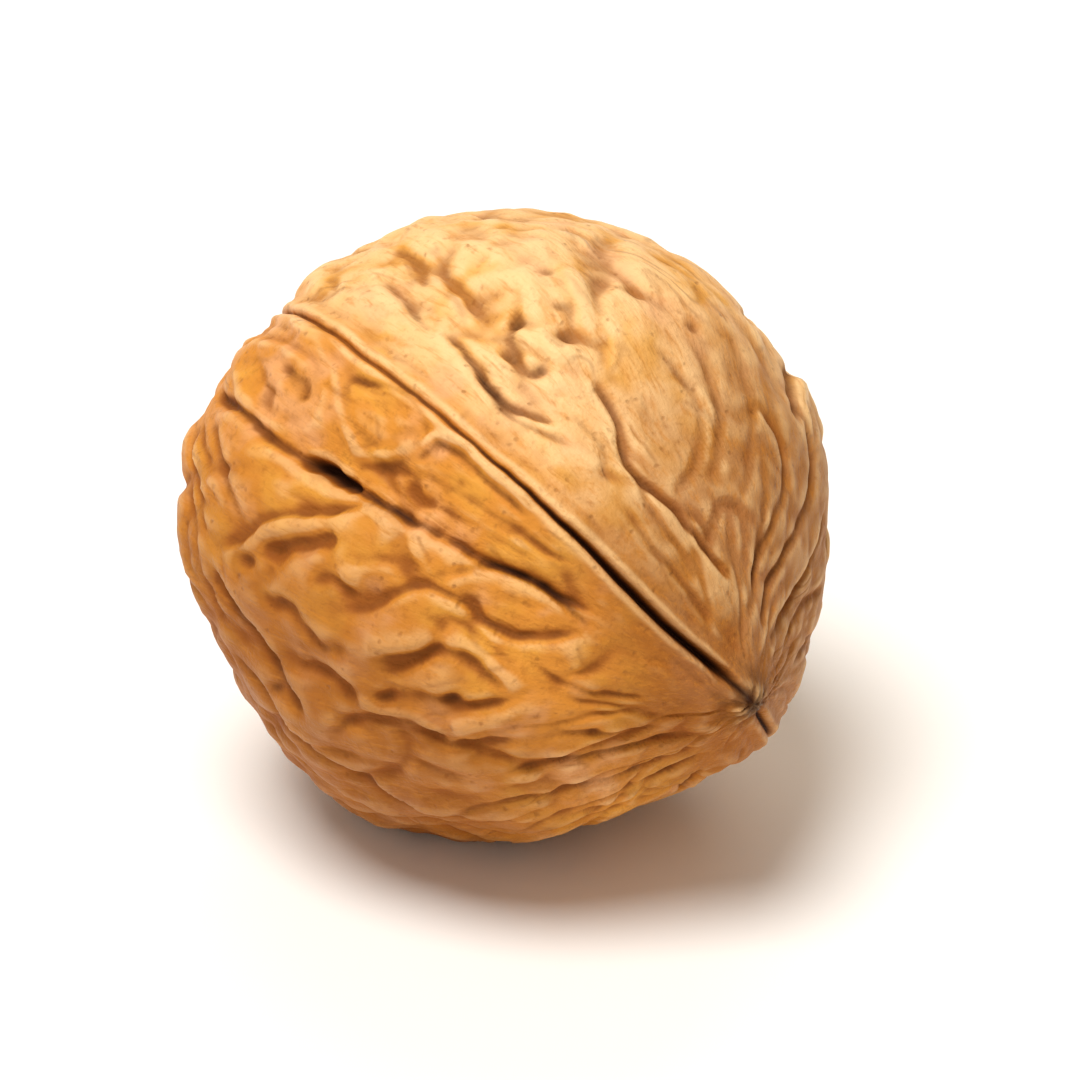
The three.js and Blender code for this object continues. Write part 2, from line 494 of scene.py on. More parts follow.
# The upper cheek: short grooves beside the seam, pits, and lines that run to the point.
UPPER_CHEEK = (
    Crease(((11, 89), (10, 95), (8, 103), (8, 111), (12, 119)),
           depth=0.42, half=0.2, lift=-0.12, dark=0.6),
    Crease(((9, 100), (6, 110), (8, 118), (12, 125)), depth=0.25, half=0.17, dark=0.45),
    Crease(((13, 66), (12, 73), (10, 81), (9, 87)), depth=0.28, half=0.18, lift=-0.1, dark=0.45),
    Crease(((22, 60), (21, 68), (17, 75)), depth=0.3, half=0.22, dark=0.4),
    Crease(((27, 91), (25, 94), (19, 99), (16, 105), (17, 111)), depth=0.38, half=0.26, lift=0.2, dark=0.45),
    Crease(((38, 92), (36, 97), (33, 104), (30, 109)), depth=-0.28, half=0.32, dark=0.0),
    Crease(((34, 94), (31, 101), (27, 107)), depth=0.3, half=0.25, dark=0.35),
    Crease(((23, 101), (22, 106), (23, 111)), depth=-0.25, half=0.3, dark=0.0),
    Crease(((15, 117), (17, 123), (17, 129), (10, 134)), depth=0.16, half=0.18, dark=0.35),
    Crease(((26, 116), (25, 125), (21, 132), (21, 138), (25, 145), (28, 152), (35, 159)),
           depth=0.42, half=0.2, lift=-0.15, dark=0.6),
    Crease(((20, 136), (17, 143), (19, 153)), depth=0.18, half=0.17, dark=0.35),
    Crease(((12, 139), (10, 146), (12, 155), (13, 164)), depth=0.16, half=0.17, dark=0.35),
    Crease(((42, 113), (45, 120), (46, 129), (39, 138), (28, 142)), depth=0.19, half=0.17, dark=0.45),
    Crease(((51, 113), (53, 122), (50, 133), (40, 142)), depth=0.19, half=0.17, dark=0.45),
    Crease(((63, 112), (64, 124), (59, 136), (50, 146)), depth=0.15, half=0.17, dark=0.35),
    Crease(((28, 146), (32, 148), (32, 153)), depth=0.2, half=0.2, dark=0.35),
    Crease(((31, 153), (42, 147), (52, 149)), depth=0.2, half=0.2, dark=0.35),
    Crease(((66, 127), (72, 134), (73, 141), (66, 150), (56, 158), (46, 166)),
           depth=0.24, half=0.18, dark=0.5),
    Crease(((84, 121), (89, 132), (86, 144), (73, 158), (60, 168)), depth=0.26, half=0.2, dark=0.5),
    Crease(((102, 137), (99, 155), (82, 170)), depth=0.3, half=0.2, lift=-0.12, dark=0.5),
    Crease(((62, 139), (60, 150), (52, 161)), depth=0.14, half=0.16, dark=0.35),
    Crease(((35, 76), (40, 83), (36, 90)), depth=0.16, half=0.22, dark=0.25),
    Crease(((58, 90), (62, 99), (58, 107)), depth=0.14, half=0.2, dark=0.25),
    pit(18, 108, 0.6, 0.32, 0.75),
    pit(22, 97, 0.4, 0.3),
    pit(26, 105, 0.4, 0.28),
    pit(29, 99, 0.25, 0.26),
    pit(45, 102, 0.3, 0.32),
    pit(54, 111, 0.4, 0.3),
    pit(33, 91, 0.3, 0.3),
    pit(15, 101, 0.22, 0.25),
)

FRONT = CLEFT_AND_BAND + PLATES + UPPER_CHEEK


# ---------------------------------------------------------------- the shell


@dataclass
class Seam:
    """The suture: a crack between two thin lips, which opens towards the point. In mm."""

    lip_rise: float = 0.2
    lip_offset: float = 0.46
    lip_half: float = 0.24
    unevenness: Triple = (2.6, 1.6, 0.9)  # the lips' own: spacing, strength, mean
    outer_groove: float = 0.12
    outer_offset: float = 1.1
    outer_half: float = 0.2
    outer_share: float = 1.5  # the groove's strength where the lips are flat
    # The crack and the outer grooves are painted dark: painted shade in them, with some grime.
    outer_dark: float = 0.4
    crack_depth: Pair = (0.4, 1.5)  # at the stem end and at the point
    crack_half: Pair = (0.1, 0.27)
    crack_dark: Pair = (0.6, 1.1)
    dark_width: float = 0.95  # of the crack's
    opens: Angles = (114.0, 156.0)  # degrees along, where it starts and ends opening
    darkens: Angles = (79.8, 125.4)
    closes: Angles = (171.0, 179.0)  # and where it closes again before the point
    closed_share: float = 0.2  # how much of the seam is left there
    narrowest: float = 0.4  # the share of the crack's width that is left there
    lower_share: float = 0.25  # how much of that depth and width the lower seam has
    sides: Pair = (-0.2, 0.2)  # cosines of the turn, from the lower seam's side to the upper's
    wander: float = 1.6  # degrees of small waves in its course
    waves: Pair = (7.0, 0.6)  # how many of them there are in one radian along, and from side to side
    course: tuple[Angles, ...] = ((40.0, -2.0), (75.0, -2.6), (105.0, -3.2), (137.0, -4.2), (165.0, -6.0))

    COURSE_SPAN = 40.0  # degrees from edge to edge of the curve that holds the course
    MIDDLE = 0.45  # where on that curve both ends of the course lie
    SLICE = 0.37  # where in the noise the waves are taken from

    def strayed(self, graph: Graph, turn: Wire, along: Wire) -> Wire:
        """Bends the columns of the shell near the seam, so that they follow it.

        Args:
            graph: The shell's tree.
            turn: Radians about the nut.
            along: Radians from the stem end.

        Returns:
            The turn with the seam's wandering added.
        """
        side = graph.math("COSINE", turn)
        curve = graph.node("ShaderNodeFloatCurve", {"Value": along / math.pi})
        points = curve.mapping.curves[0].points
        for point in points:
            point.location = (point.location[0], self.MIDDLE)
        for degrees, offset in self.course:
            points.new(degrees / 180.0, 0.5 + offset / self.COURSE_SPAN)
        curve.mapping.update()
        drawn = (graph.wire(curve) - 0.5) * math.radians(self.COURSE_SPAN)
        waves_along, waves_aside = self.waves
        slice_spot = graph.combined(along * waves_along, side * waves_aside, self.SLICE)
        wave = graph.noise(slice_spot, 1.0, detail=1.0)
        near = side * side
        return turn + (drawn + wave * math.radians(self.wander)) * near

    def relief(self, graph: Graph, aside: Wire, turn: Wire, along: Wire, place: Wire) -> tuple[Wire, Wire]:
        """The seam's own relief.

        Args:
            graph: The shell's tree.
            aside: Distance from the crack's middle, in mm.
            turn: Radians about the nut.
            along: Radians from the stem end.
            place: The place on the skin, in mm.

        Returns:
            Its height in mm, and how dark it is painted, from 0 to 1: painted shade in the crack and its
            outer grooves, with some grime.
        """
        opens = radians(self.opens)
        shut = graph.ramp(along, *radians(self.closes), 1.0, self.closed_share)
        upper = graph.ramp(graph.math("COSINE", turn), *self.sides, self.lower_share, 1.0)
        depth = graph.ramp(along, *opens, *self.crack_depth) * shut * upper
        width = shut * upper * (1.0 - self.narrowest) + self.narrowest
        half = graph.ramp(along, *opens, *self.crack_half) * width
        crack = graph.bump(aside, half)
        spacing, strength, mean = self.unevenness
        uneven = graph.noise(place, spacing) * strength + mean
        lip = graph.bump(aside - self.lip_offset, self.lip_half) * uneven * self.lip_rise
        outer = graph.bump(aside - self.outer_offset, self.outer_half) * (self.outer_share - uneven)
        dirt = graph.ramp(along, *radians(self.darkens), *self.crack_dark)
        dark = graph.bump(aside, half * self.dark_width) * dirt + outer * self.outer_dark
        return (lip - outer * self.outer_groove - crack * depth) * shut, dark * shut


@dataclass
class Weathering:
    """The shell's own unevenness, all over. Heights, widths and spacings in mm.

    A sway is the spacing and the reach of the noise that pushes a pattern about. Where a
    pattern shows is given by the spacing of its patches and the noise at which they begin
    and are full.
    """

    swell: Pair = (9.0, 0.7)  # spacing, height
    lump: Pair = (4.2, 0.9)
    lump_sway: Pair = (6.0, 1.6)
    knobs: Pair = (2.1, 0.45)
    knob_sway: Pair = (3.0, 0.7)
    grain: Pair = (0.9, 0.17)
    net_cell: float = 5.2
    net_depth: float = 0.3
    net_half: float = 0.3
    net_sways: tuple[Pair, ...] = ((7.0, 2.6), (2.2, 0.6))
    net_shows: Triple = (6.0, -0.16, 0.06)
    contour_spacing: float = 6.5
    contour_levels: float = 7.0
    contour_depth: float = 0.1
    contour_half: float = 0.22  # in levels
    contour_sway: Pair = (5.0, 1.4)
    contour_shows: Triple = (5.0, -0.12, 0.06)
    contour_dark: float = 0.5  # painted shade in the contour grooves, for each mm of depth
    pit_cell: float = 2.3
    pit_depth: float = 0.34
    pit_half: float = 0.3
    pit_sway: Pair = (1.6, 0.35)
    pit_shows: Triple = (7.0, -0.06, 0.1)
    pit_chance: Pair = (0.72, 0.8)  # cells that draw more than this have a pit
    # Painted shade in the pits.
    pit_dark: float = 0.5
    streaks: Pair = (1.6, 0.3)
    streak_sway: Pair = (2.0, 0.5)
    streak_round: float = 30.0  # how finely the streaks are spaced round the nut
    streak_along: float = 2.0  # and along it, for each radian
    to_point: Angles = (108.0, 158.0)  # degrees along, over which they grow towards the point
    to_point_share: Pair = (0.12, 0.6)
    to_stem: Angles = (50.0, 20.0)
    to_stem_share: float = 0.8
    off_ends: Pair = (0.05, 0.5)  # sines of along, over which they come in at both ends
    end_share: float = 0.1
    cheek: Pair = (-6.0, 10.0)  # y over which the lower side turns into the upper cheek
    cheek_share: float = 0.35  # how much of the lumps the upper cheek keeps
    swellings: tuple[Spot, ...] = (  # turn, along, spread, height
        (-6.0, 40.0, 5.0, 0.75),
        (26.0, 50.0, 4.0, 0.3),
        (-42.0, 46.0, 5.0, 0.35),
        (98.0, 117.0, 5.0, 0.75),
        (50.0, 64.0, 4.5, -0.35),
        (200.0, 60.0, 6.0, -0.3),
        (150.0, 70.0, 6.0, -0.4),
    )
    rough_patches: tuple[Spot, ...] = (  # turn, along, spread, how much livelier
        (28.0, 92.0, 6.0, 1.3),
        (30.0, 62.0, 7.0, 0.9),
        (60.0, 80.0, 6.0, 0.5),
        (-55.0, 112.0, 7.0, 0.35),
        (-75.0, 85.0, 7.0, 0.25),
        (208.0, 85.0, 8.0, 0.9),
        (150.0, 100.0, 8.0, 0.7),
        (120.0, 80.0, 9.0, 0.6),
        (240.0, 100.0, 8.0, 0.6),
        (-65.0, 42.0, 8.0, 0.6),
        (-46.0, 92.0, 5.0, -0.45),
        (-110.0, 60.0, 8.0, 0.7),
        (95.0, 50.0, 8.0, 0.7),
        (160.0, 48.0, 8.0, 0.8),
        (110.0, 110.0, 6.0, 0.5),
    )
    point_rise: float = 0.5  # how far the stub stands out that the point ends in
    point_reach: float = 1.7  # and how far round it spreads
    point_knobs: Pair = (0.7, 1.5)
    point_ragged: Pair = (0.22, -0.04)  # its noise, over which it gets dark
    point_dark: float = 0.85
    scar_rim: Triple = (2.6, 0.7, 0.35)  # stem scar: radius, half width, height
    scar_edge: Pair = (3.12, 0.78)  # over which it gets dark
    scar_dark: float = 0.35

    def _about(self, graph: Graph, place: Wire, spots: Sequence[Spot], value: Wire) -> Wire:
        """Adds to a value round some spots.

        Args:
            graph: The shell's tree.
            place: The place on the skin, in mm.
            spots: Each spot's turn, along, spread and how much it adds.
            value: What it is added to.

        Returns:
            The sum.
        """
        for turn, along, spread, more in spots:
            away = graph.vector_math("DISTANCE", place, spot(turn, along), output="Value")
            value = value + graph.bump(away, spread) * more
        return value

    def relief(self, graph: Graph, place: Wire, line: Wire, along: Wire) -> tuple[Wire, Wire]:
        """Works out the unevenness.

        Args:
            graph: The shell's tree.
            place: The place on the skin, in mm.
            line: The same unrolled so that patterns run from end to end, in mm.
            along: Radians from the stem end.

        Returns:
            Its height in mm, and how dark it is painted, from 0 to 1: painted shade in its pits and contour
            grooves, and the dark point and stem scar.
        """
        lively = graph.ramp(graph.separated(place)[1], *self.cheek, 1.0, self.cheek_share)
        lively = self._about(graph, place, self.rough_patches, lively)
        swell = graph.noise(place, self.swell[0], detail=1.0) * self.swell[1]
        swell = self._about(graph, place, self.swellings, swell)
        lump = graph.noise(graph.warped(line, *self.lump_sway), self.lump[0], detail=1.5)
        lump = lump * self.lump[1] * lively
        knobs = graph.noise(graph.warped(place, *self.knob_sway), self.knobs[0]) * self.knobs[1] * lively
        grain = graph.noise(place, self.grain[0], detail=3.0) * self.grain[1]

        bent = line
        for sway in self.net_sways:
            bent = graph.warped(bent, *sway)
        edge = graph.wire(graph.cells(bent, self.net_cell, "DISTANCE_TO_EDGE")) * self.net_cell
        netted = graph.patches(place, *self.net_shows) * lively
        net = graph.bump(edge, self.net_half) * netted * self.net_depth

        levels = graph.noise(graph.warped(line, *self.contour_sway), self.contour_spacing, detail=1.0)
        off_line = graph.off_contour(levels, self.contour_levels)
        drawn = graph.patches(place, *self.contour_shows)
        contour = graph.bump(off_line, self.contour_half) * drawn * self.contour_depth

        cells = graph.cells(graph.warped(place, *self.pit_sway), self.pit_cell, "F1")
        chance = graph.separated(graph.wire(cells, "Color"))[0]
        pitted = graph.ramp(chance, *self.pit_chance) * graph.patches(place, *self.pit_shows)
        pits = graph.bump(graph.wire(cells) * self.pit_cell, self.pit_half) * pitted

        off_axis = graph.math("SINE", along)
        line_x, line_y, _ = graph.separated(line)
        finer = self.streak_round / MEAN_RADIUS
        fine = graph.combined(line_x * finer, line_y * finer, along * self.streak_along)
        to_point = graph.ramp(along, *radians(self.to_point), *self.to_point_share)
        to_stem = graph.ramp(along, *radians(self.to_stem)) * self.to_stem_share
        off_ends = graph.ramp(off_axis, *self.off_ends, self.end_share, 1.0)
        spacing, depth = self.streaks
        streaks = graph.noise(graph.warped(fine, *self.streak_sway), spacing) * depth
        streaks = streaks * (to_point + to_stem) * off_ends

        from_axis = off_axis * MEAN_RADIUS
        at_stem = graph.math("LESS_THAN", along, math.pi / 2)
        rim_radius, rim_half, rim_height = self.scar_rim
        rim = graph.bump(from_axis - rim_radius, rim_half) * rim_height * at_stem
        scar = graph.ramp(from_axis, *self.scar_edge) * at_stem
        about_point = graph.bump(from_axis, self.point_reach) * (1.0 - at_stem)
        spacing, strength = self.point_knobs
        ragged = graph.noise(place, spacing)
        stub = (ragged * strength + self.point_rise) * about_point
        stub_dark = graph.ramp(ragged, *self.point_ragged) * about_point

        height = swell + lump + knobs + grain + streaks + rim + stub - net - contour - pits * self.pit_depth
        # Painted shade in the pits and contour grooves; the point's stub and the stem scar are dark in their
        # own skin.
        dark = pits * self.pit_dark + contour * self.contour_dark
        return height, dark + stub_dark * self.point_dark + scar * self.scar_dark


@dataclass
class Shell:
    """The nut's closed shell. Sizes in mm."""

    columns: int = 448
    rows: int = 213
    suture_crowding: float = 1.25  # over 1 draws the columns together at the two seams
    smoothing: int = 40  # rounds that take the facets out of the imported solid
    inset: float = 0.25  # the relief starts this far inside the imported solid
    inset_fade: float = 3.0  # height above the floor over which the inset comes in
    wobble: float = 0.28  # how far a crease strays from its drawn line
    wobble_spacing: float = 1.5
    lift_edge: Triple = (0.36, 0.5, 0.1)  # a lifted edge's steepness, its middle and its rounding
    lift_sunk: float = 0.3  # how much lower than before the other side of that edge lies
    unevenness: Triple = (2.4, 1.4, 1.0)  # of the creases' depth: spacing, strength, mean
    shade_and_dirt_width: float = 0.9  # of the crease's: how wide its painted shade and grime run
    gathering: float = 0.45  # how patterns draw in at the two ends: 0 is to a star, 1 not at all
    stretch: float = 0.5  # less draws patterns out further along the nut
    calm_by_seam: Pair = (0.6, 2.6)  # from the crack, over which the unevenness comes in
    calm_share: float = 0.25
    ends: Pair = (0.14, 0.05)  # sines of along, over which it is whole again at both ends
    hollow_rounds: int = 12  # how far about a point its surroundings reach: for small hollows
    basin_rounds: int = 90  # and for broad ones
    seam: Seam = field(default_factory=Seam)
    weathering: Weathering = field(default_factory=Weathering)
    creases: CreaseWork = CreaseWork(FRONT + tuple(crease.turned(180.0) for crease in FRONT))

    RAY = 0.1  # m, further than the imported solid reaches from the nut's centre
    POLE = 1e-6  # points of the ball that are nearer than this are one

    def build(self, material: bpy.types.Material) -> bpy.types.Object:
        """Makes the shell as one plain mesh.

        Args:
            material: What it is dressed in.

        Returns:
            The finished object, at the origin.
        """
        lines = bpy.data.objects.new("crease_lines", self.creases.mesh())
        blank = bpy.data.objects.new("shell_blank", bpy.data.meshes.new("shell_blank"))
        for helper in (lines, blank):
            bpy.context.scene.collection.objects.link(helper)
        given = {
            "Packed solid": ("NodeSocketObject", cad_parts["walnut"]),
            "Nut centre": ("NodeSocketVector", NUT_CENTRE),
            "Creases": ("NodeSocketObject", lines),
            "Crease count": ("NodeSocketInt", len(self.creases.creases)),
            "Columns": ("NodeSocketInt", self.columns),
            "Rows": ("NodeSocketInt", self.rows),
            "Inset": ("NodeSocketFloat", self.inset),
            "Wobble": ("NodeSocketFloat", self.wobble),
            "Finish": ("NodeSocketMaterial", material),
        }
        tree = self._tree({name: kind for name, (kind, _) in given.items()})
        modifier = blank.modifiers.new("Shell", "NODES")
        modifier.node_group = tree
        for item in tree.interface.items_tree:
            if item.name in given:
                modifier[item.identifier] = given[item.name][1]
        evaluated = blank.evaluated_get(bpy.context.evaluated_depsgraph_get())
        mesh = bpy.data.meshes.new_from_object(evaluated)
        mesh.name = "walnut_shell"
        piece = bpy.data.objects.new("walnut_shell", mesh)
        bpy.context.scene.collection.objects.link(piece)
        for helper in (lines, blank):
            bpy.data.objects.remove(helper, do_unlink=True)
        return piece

    def _tree(self, inputs: dict[str, str]) -> bpy.types.NodeTree:
        """Wires the shell's geometry tree.

        Args:
            inputs: The kind of socket of each of its inputs, by name.

        Returns:
            The tree, with its sizes as named inputs.
        """
        tree = bpy.data.node_groups.new("Walnut shell", "GeometryNodeTree")
        for name, kind in inputs.items():
            tree.interface.new_socket(name, in_out="INPUT", socket_type=kind)
        tree.interface.new_socket("Shell", in_out="OUTPUT", socket_type="NodeSocketGeometry")
        graph = Graph(tree)
        given = graph.node("NodeGroupInput")
        skin = self._ball(graph, given)
        skin = self._follow_solid(graph, given, skin)
        skin = self._carve(graph, given, skin)
        skin = self._weather(graph, skin)
        skin = self._finish(graph, given, skin)
        output = graph.node("NodeGroupOutput")
        tree.links.new(skin, output.inputs[0])
        return tree

    def _store(self, graph: Graph, skin: object, name: str, value: object, kind: str = "FLOAT") -> object:
        """Stores a value on the skin's points.

        Args:
            graph: The shell's tree.
            skin: The geometry so far.
            name: The attribute's name.
            value: The wire to store.
            kind: Its data type.

        Returns:
            The geometry that carries it.
        """
        sockets = {"Geometry": skin, "Name": name, "Value": value}
        return graph.node("GeometryNodeStoreNamedAttribute", sockets, data_type=kind).outputs[0]

    def _read(self, graph: Graph, name: str, kind: str = "FLOAT") -> Wire:
        """Reads a stored value."""
        return graph.wire(graph.node("GeometryNodeInputNamedAttribute", {"Name": name}, data_type=kind))

    def _blurred(self, graph: Graph, value: Wire, rounds: int) -> Wire:
        """A value on the skin's points, evened out with its neighbours in some rounds."""
        return graph.wire(graph.node("GeometryNodeBlurAttribute", {"Value": value, "Iterations": rounds}))

    def _laid(self, graph: Graph, vector: Wire) -> Wire:
        """A vector turned from the nut frame to how the nut lies."""
        return graph.wire(graph.node("FunctionNodeRotateVector", {"Vector": vector, "Rotation": LIE}))

    def _ball(self, graph: Graph, given: bpy.types.Node) -> object:
        """A closed ball whose poles are the nut's ends and whose columns follow the seams.

        Args:
            graph: The shell's tree.
            given: The tree's inputs.

        Returns:
            The ball's geometry, of radius 1, with the sine of each column's turn stored.
        """
        sockets = {
            "Size X": 1.0,
            "Size Y": 1.0,
            "Vertices X": graph.math("ADD", given.outputs["Columns"], 1),
            "Vertices Y": given.outputs["Rows"],
        }
        grid = graph.node("GeometryNodeMeshGrid", sockets)
        x, y, _ = graph.separated(graph.wire(graph.node("GeometryNodeInputPosition")))
        quarter = (x + 0.5) * 4.0  # quarter turns, from the upper seam
        seam_number = graph.math("ROUND", quarter * 0.5)
        from_seam = quarter - seam_number * 2.0
        eased = graph.math("POWER", abs(from_seam), self.suture_crowding)
        plain_turn = (seam_number * 2.0 + graph.math("SIGN", from_seam) * eased) * (math.pi / 2)
        along = (y + 0.5) * math.pi
        turn = self.seam.strayed(graph, plain_turn, along)
        level = graph.math("SINE", along)
        way = graph.combined(
            graph.math("COSINE", along) * -1.0,
            level * graph.math("SINE", turn),
            level * graph.math("COSINE", turn),
        )
        skin = self._store(graph, grid.outputs["Mesh"], "off_seam", graph.math("SINE", plain_turn))
        placed = graph.node("GeometryNodeSetPosition", {"Geometry": skin, "Position": way})
        sockets = {"Geometry": placed.outputs[0], "Distance": self.POLE}
        merged = graph.node("GeometryNodeMergeByDistance", sockets)
        return graph.node("GeometryNodeFlipFaces", {"Mesh": merged.outputs[0]}).outputs[0]

    def _follow_solid(self, graph: Graph, given: bpy.types.Node, skin: object) -> object:
        """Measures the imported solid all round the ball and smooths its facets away.

        Args:
            graph: The shell's tree.
            given: The tree's inputs.
            skin: The ball.

        Returns:
            The same points, which carry their direction, their radius and their place in mm.
        """
        solid = graph.node("GeometryNodeObjectInfo", {"Object": given.outputs["Packed solid"]})
        way = graph.wire(graph.node("GeometryNodeInputPosition"))
        sockets = {
            "Target Geometry": solid.outputs["Geometry"],
            "Source Position": given.outputs["Nut centre"],
            "Ray Direction": self._laid(graph, way),
            "Ray Length": self.RAY,
        }
        hit = graph.wire(graph.node("GeometryNodeRaycast", sockets), "Hit Distance") * (1.0 / MM)
        skin = self._store(graph, skin, "way", way, "FLOAT_VECTOR")
        skin = self._store(graph, skin, "radius", self._blurred(graph, hit, self.smoothing))
        place = graph.scaled(self._read(graph, "way", "FLOAT_VECTOR"), self._read(graph, "radius"))
        skin = self._store(graph, skin, "place", place, "FLOAT_VECTOR")
        skin = self._store(graph, skin, "carving", 0.0)
        return self._store(graph, skin, "dirt", 0.0)

    def _carve(self, graph: Graph, given: bpy.types.Node, skin: object) -> object:
        """Carves the drawn creases one after another, in a repeat zone.

        Args:
            graph: The shell's tree.
            given: The tree's inputs.
            skin: The smooth skin.

        Returns:
            The skin, with their height and their painted shade and grime stored on it.
        """
        start = graph.node("GeometryNodeRepeatInput")
        end = graph.node("GeometryNodeRepeatOutput")
        start.pair_with_output(end)
        end.repeat_items.clear()
        end.repeat_items.new("GEOMETRY", "Skin")
        graph.feed(start.inputs["Iterations"], given.outputs["Crease count"])
        graph.feed(start.inputs["Skin"], skin)

        lines = graph.node("GeometryNodeObjectInfo", {"Object": given.outputs["Creases"]})
        same = graph.node("FunctionNodeCompare", data_type="INT", operation="EQUAL")
        graph.feed(same.inputs[2], self._read(graph, "number", "INT"))
        graph.feed(same.inputs[3], start.outputs["Iteration"])
        sockets = {"Geometry": lines.outputs["Geometry"], "Selection": same.outputs[0]}
        line = graph.node("GeometryNodeSeparateGeometry", sockets).outputs["Selection"]

        round_spot = graph.scaled(self._read(graph, "way", "FLOAT_VECTOR"), MEAN_RADIUS)
        here = graph.warped(round_spot, self.wobble_spacing, graph.wire(given, "Wobble"))
        near = graph.node("GeometryNodeProximity", {"Geometry": line, "Sample Position": here})
        near.target_element = "EDGES"
        nearest = graph.node("GeometryNodeSampleNearest", {"Geometry": line, "Sample Position": here})

        def sampled(name: str, kind: str = "FLOAT") -> Wire:
            """One of the crease's sizes at the nearest point of its line."""
            inputs = {"Geometry": line, "Value": self._read(graph, name, kind), "Index": nearest.outputs[0]}
            return graph.wire(graph.node("GeometryNodeSampleIndex", inputs, data_type=kind))

        distance = graph.wire(near, "Distance")
        half = sampled("half")
        away = graph.vector_math("SUBTRACT", here, graph.wire(near, "Position"))
        right_hand = graph.vector_math("CROSS_PRODUCT", round_spot, sampled("tangent", "FLOAT_VECTOR"))
        side = graph.vector_math("DOT_PRODUCT", away, right_hand, output="Value") / MEAN_RADIUS
        steepness, middle, rounding = self.lift_edge
        over_edge = graph.math("MAXIMUM", side / half * steepness + middle, 0.0)
        raised = graph.math("SMOOTH_MIN", over_edge, 1.0, rounding) * (1.0 + self.lift_sunk) - self.lift_sunk
        lifted = raised * graph.bump(distance, sampled("reach")) * sampled("lift")
        spacing, strength, mean = self.unevenness
        groove = graph.bump(distance, half) * (graph.noise(round_spot, spacing) * strength + mean)
        carving = self._read(graph, "carving") + lifted - groove * sampled("depth")
        # Painted shade, with some grime, down the middle of each groove.
        dirt = self._read(graph, "dirt") + graph.bump(distance, half * self.shade_and_dirt_width) * sampled("dark")
        carved = self._store(graph, start.outputs["Skin"], "carving", carving)
        graph.feed(end.inputs["Skin"], self._store(graph, carved, "dirt", dirt))
        return end.outputs["Skin"]

    def _weather(self, graph: Graph, skin: object) -> object:
        """Adds the seam and the shell's own unevenness to what is carved.

        Args:
            graph: The shell's tree.
            skin: The carved skin.

        Returns:
            The skin, with its whole relief, its painted shade and grime, and how hollow it lies stored on
            it.
        """
        place = self._read(graph, "place", "FLOAT_VECTOR")
        way_x, way_y, way_z = graph.separated(self._read(graph, "way", "FLOAT_VECTOR"))
        turn = graph.math("ARCTAN2", way_y, way_z)
        along = graph.math("ARCCOSINE", way_x * -1.0)
        off_axis = graph.math("SINE", along)
        spread = graph.math("POWER", off_axis, self.gathering)
        line = graph.combined(
            graph.math("COSINE", turn) * spread * MEAN_RADIUS,
            graph.math("SINE", turn) * spread * MEAN_RADIUS,
            along * (self.stretch * MEAN_RADIUS),
        )
        aside = abs(self._read(graph, "off_seam")) * (off_axis * self._read(graph, "radius"))
        seam_height, seam_dark = self.seam.relief(graph, aside, turn, along, place)
        rough_height, rough_dark = self.weathering.relief(graph, place, line, along)
        beside_seam = graph.ramp(aside, *self.calm_by_seam, self.calm_share, 1.0)
        calm = graph.math("MAXIMUM", beside_seam, graph.ramp(off_axis, *self.ends))
        sharp = self._read(graph, "carving") + seam_height + rough_height * calm
        relief = self._blurred(graph, sharp, 1)
        # Painted shade and grime of the creases, crack and pits, with the dark point and stem scar.
        dirt = self._blurred(graph, self._read(graph, "dirt") + seam_dark + rough_dark, 1)
        skin = self._store(graph, skin, "line", line, "FLOAT_VECTOR")
        skin = self._store(graph, skin, "relief", relief)
        skin = self._store(graph, skin, "dirt", dirt)
        # How far each point lies below its surroundings; the finish paints shade in these hollows and
        # highlight on the crests.
        for name, rounds in (("hollow", self.hollow_rounds), ("basin", self.basin_rounds)):
            about = self._blurred(graph, relief, rounds)
            skin = self._store(graph, skin, name, about - self._read(graph, "relief"))
        return skin

    def _finish(self, graph: Graph, given: bpy.types.Node, skin: object) -> object:
        """Puts every point in its place, lays the nut down and presses it onto the floor.

        Args:
            graph: The shell's tree.
            given: The tree's inputs.
            skin: The skin with its relief stored.

        Returns:
            The finished geometry.
        """
        way = self._read(graph, "way", "FLOAT_VECTOR")
        bare = self._laid(graph, graph.scaled(way, self._read(graph, "radius") * MM))
        height = graph.separated(bare)[2] + NUT_CENTRE.z
        inset = graph.ramp(height, 0.0, self.inset_fade * MM) * graph.wire(given, "Inset")
        radius = self._read(graph, "radius") + self._read(graph, "relief") - inset
        laid = self._laid(graph, graph.scaled(way, radius * MM))
        x, y, z = graph.separated(graph.vector_math("ADD", laid, NUT_CENTRE))
        pressed = graph.combined(x, y, graph.math("MAXIMUM", z, 0.0))
        placed = graph.node("GeometryNodeSetPosition", {"Geometry": skin, "Position": pressed})
        smooth = graph.node("GeometryNodeSetShadeSmooth", {"Geometry": placed.outputs[0]})
        whole = graph.node("GeometryNodeRealizeInstances", {"Geometry": smooth.outputs[0]})
        sockets = {"Geometry": whole.outputs[0], "Material": given.outputs["Finish"]}
        return graph.node("GeometryNodeSetMaterial", sockets).outputs[0]


# ---------------------------------------------------------------- finishes


class Paint(Enum):
    """The shell's colours."""

    # Painted highlight on the crests.
    PALE = (0.95, 0.615, 0.29)
    TAN = (0.89, 0.53, 0.225)
    GOLDEN = (0.67, 0.258, 0.034)
    HONEY = (0.78, 0.36, 0.05)
    ROSY = (0.86, 0.46, 0.24)
    # Painted shade in broad hollows.
    RUSSET = (0.34, 0.088, 0.012)
    # Painted shade below the nut and towards its point.
    UMBER = (0.29, 0.085, 0.009)
    # Grain lines, mottle, veins and flecks, and also painted shade in the hollows.
    BROWN = (0.25, 0.072, 0.009)
    # Painted shade with some grime in the crack, the grooves and the pits; also the dark point and stem
    # scar.
    CRACK = (0.045, 0.012, 0.003)


